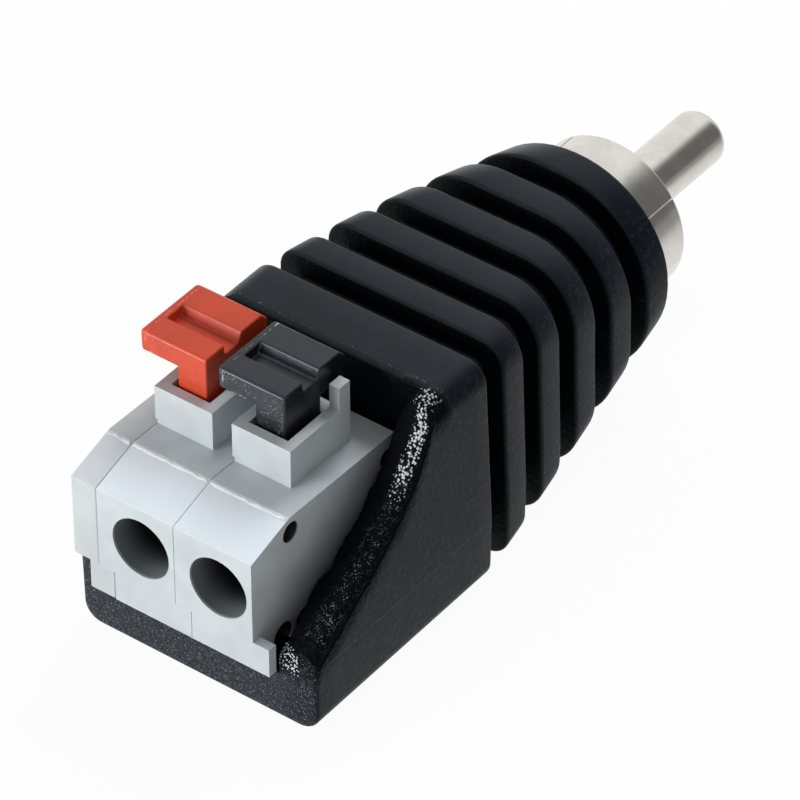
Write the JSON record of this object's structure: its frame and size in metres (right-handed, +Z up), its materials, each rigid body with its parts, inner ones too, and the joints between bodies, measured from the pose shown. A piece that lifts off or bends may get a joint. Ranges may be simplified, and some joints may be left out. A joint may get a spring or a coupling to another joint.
{
  "type": "rca plug to push-button wire terminal adapter",
  "caption": "RCA (phono) plug on a ribbed black housing, with a push-button spring terminal for the bare wires of a cable at its back.",
  "frame": {"origin": "on the base plane, under the centre of the bounding box", "axes": "+X from the wire entries towards the plug's pin, along the plug's axis; +Z up from the flat base to the buttons; +Y from the black pole to the red pole"},
  "size_m": [0.0458, 0.0154, 0.016],
  "materials": {
    "black_pvc": "fine orange-peel moulded surface, half matt",
    "terminal_grey": "smooth moulded polyamide",
    "end_plate_grey": "smooth moulded polyamide, a little translucent",
    "button_red": "satin moulded plastic",
    "button_black": "satin moulded plastic",
    "spring_steel": "bright strip",
    "tinned_copper": "dull tin plating",
    "nickel": "bright nickel plating",
    "insulator_white": "smooth moulded plastic",
    "lead_jacket_red": "smooth wire insulation",
    "lead_jacket_black": "smooth wire insulation"
  },
  "bodies": {
    "adapter": {"housing": "black_pvc", "terminal_module_red": "terminal_grey", "terminal_module_black": "terminal_grey", "terminal_end_plate": "end_plate_grey", "clamp_spring_red": "spring_steel", "clamp_spring_black": "spring_steel", "current_bar_red": "tinned_copper", "current_bar_black": "tinned_copper", "rca_sleeve": "nickel", "rca_center_pin": "nickel", "rca_insulator": "insulator_white", "ground_tag": "tinned_copper", "lead_wire_red": "lead_jacket_red", "lead_wire_black": "lead_jacket_black", "wire_core_red": "tinned_copper", "wire_core_black": "tinned_copper"},
    "red_push_button": {"button_red": "button_red"},
    "black_push_button": {"button_black": "button_black"}
  },
  "joints": [
    {"name": "red_button_press", "type": "slide", "parent": "adapter", "child": "red_push_button", "axis": [0, 0, -1], "range_m": [0, 0.0011], "stiffness_N_per_m": 5000, "springref_m": -0.0003, "deforming": ["clamp_spring_red"]},
    {"name": "black_button_press", "type": "slide", "parent": "adapter", "child": "black_push_button", "axis": [0, 0, -1], "range_m": [0, 0.0011], "stiffness_N_per_m": 5000, "springref_m": -0.0003, "deforming": ["clamp_spring_black"]}
  ]
}
